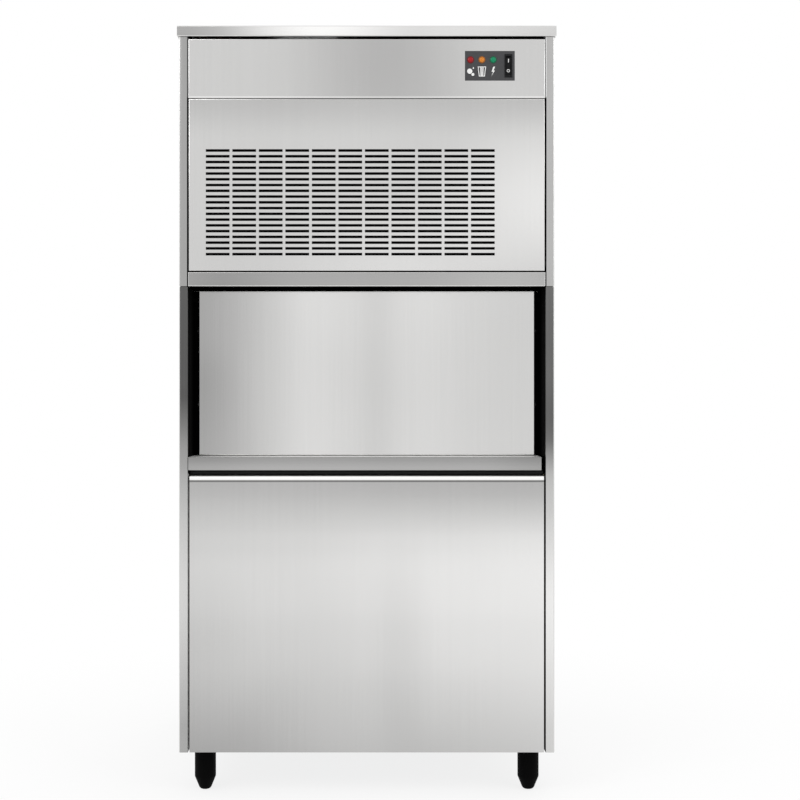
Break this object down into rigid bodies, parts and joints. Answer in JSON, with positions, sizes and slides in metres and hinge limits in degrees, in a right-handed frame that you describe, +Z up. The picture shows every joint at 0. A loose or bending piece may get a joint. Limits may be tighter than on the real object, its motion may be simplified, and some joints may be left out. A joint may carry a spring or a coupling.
{
  "type": "flake ice machine",
  "caption": "Upright stainless flake ice machine: an ice-making head with a slotted grille and a lamp panel, on an insulated bin with a top-hinged door and bullet feet.",
  "frame": {"origin": "bottom centre of the whole machine's box, on the floor", "axes": "+Z up, the front with the grille and the door faces -Y, +X to the right seen from the front"},
  "size_m": [0.5656, 0.6268, 1.15],
  "materials": {
    "brushed_steel": "brushed stainless sheet",
    "galvanised": "plain galvanised sheet",
    "black_plastic": "moulded, fine grain",
    "white_plastic": "food-grade moulding",
    "float_red": "moulded float",
    "control_grey": "dark grey film on a moulded plate",
    "lamp_red": "tinted lens",
    "lamp_amber": "tinted lens",
    "lamp_green": "tinted lens",
    "rubber": "soft black rubber",
    "copper": "bare copper tube",
    "brass": "turned brass",
    "fin_aluminium": "thin fins",
    "gear_aluminium": "cast and painted case",
    "black_enamel": "black enamel",
    "clear_hose": "pale plastic pipe",
    "foam": null
  },
  "bodies": {
    "cabinet": {"top_cover": "brushed_steel", "head_left_panel": "brushed_steel", "head_right_panel": "brushed_steel", "control_fascia": "brushed_steel", "grille_panel": "brushed_steel", "front_rail": "brushed_steel", "bin_left_panel": "brushed_steel", "bin_right_panel": "brushed_steel", "lower_front_panel": "brushed_steel", "door_sill": "brushed_steel", "freezing_cylinder": "brushed_steel", "head_back_panel": "galvanised", "bin_back_panel": "galvanised", "head_deck": "galvanised", "bottom_pan": "galvanised", "electrical_box": "galvanised", "fan_shroud": "galvanised", "fan_bracket": "galvanised", "switch_housing": "black_plastic", "door_jambs": "black_plastic", "throat_frame": "black_plastic", "cable_gland": "black_plastic", "bin_liner": "white_plastic", "ice_chute": "white_plastic", "water_tank": "white_plastic", "tank_lid": "white_plastic", "float_valve": "white_plastic", "ice_outlet": "white_plastic", "control_plate": "control_grey", "red_lamp": "lamp_red", "amber_lamp": "lamp_amber", "green_lamp": "lamp_green", "compressor_grommets": "rubber", "door_gasket": "rubber", "condenser_tubes": "copper", "filter_drier": "copper", "discharge_pipe": "copper", "liquid_pipe": "copper", "suction_pipe": "copper", "water_inlet": "brass", "condenser_fins": "fin_aluminium", "gear_motor": "gear_aluminium", "compressor": "black_enamel", "fan_motor": "black_enamel", "water_hose": "clear_hose", "drain_fitting": "clear_hose", "bin_insulation": "foam", "cylinder_insulation": "foam"},
    "door": {"door_skin": "brushed_steel", "door_liner": "white_plastic", "hinge_pins": "brushed_steel"},
    "rocker": {"switch_rocker": "black_plastic"},
    "fan": {"fan_rotor": "black_plastic"},
    "auger": {"auger": "brushed_steel"},
    "float": {"float_arm": "float_red"},
    "flap": {"bin_full_flap": "brushed_steel"},
    "foot_front_left": {"foot_front_left": "black_plastic"},
    "foot_front_right": {"foot_front_right": "black_plastic"},
    "foot_rear_left": {"foot_rear_left": "black_plastic"},
    "foot_rear_right": {"foot_rear_right": "black_plastic"}
  },
  "joints": [
    {"name": "door_hinge", "type": "hinge", "parent": "cabinet", "child": "door", "pos_m": [0, -0.2466, 0.747], "axis": [-1, 0, 0], "range_deg": [0, 80]},
    {"name": "switch_rock", "type": "hinge", "parent": "cabinet", "child": "rocker", "pos_m": [0.2114, -0.3061, 1.09055], "axis": [-1, 0, 0], "range_deg": [0, 14]},
    {"name": "fan_spin", "type": "hinge", "parent": "cabinet", "child": "fan", "pos_m": [-0.02455, -0.1906, 0.8823], "axis": [0, 1, 0], "continuous": true},
    {"name": "auger_spin", "type": "hinge", "parent": "cabinet", "child": "auger", "pos_m": [0.146, 0.0194, 0.8678], "axis": [0, 0, 1], "continuous": true},
    {"name": "float_swing", "type": "hinge", "parent": "cabinet", "child": "float", "pos_m": [0.23, 0.2464, 0.9928], "axis": [-1, 0, 0], "range_deg": [0, 25]},
    {"name": "flap_swing", "type": "hinge", "parent": "cabinet", "child": "flap", "pos_m": [0, -0.0426, 0.7708], "axis": [-1, 0, 0], "range_deg": [0, 40]},
    {"name": "foot_front_left_turn", "type": "hinge", "parent": "cabinet", "child": "foot_front_left", "pos_m": [-0.246, -0.2656, 0.066], "axis": [0, 0, 1], "continuous": true},
    {"name": "foot_front_right_turn", "type": "hinge", "parent": "cabinet", "child": "foot_front_right", "pos_m": [0.246, -0.2656, 0.066], "axis": [0, 0, 1], "continuous": true},
    {"name": "foot_rear_left_turn", "type": "hinge", "parent": "cabinet", "child": "foot_rear_left", "pos_m": [-0.246, 0.2444, 0.066], "axis": [0, 0, 1], "continuous": true},
    {"name": "foot_rear_right_turn", "type": "hinge", "parent": "cabinet", "child": "foot_rear_right", "pos_m": [0.246, 0.2444, 0.066], "axis": [0, 0, 1], "continuous": true}
  ]
}
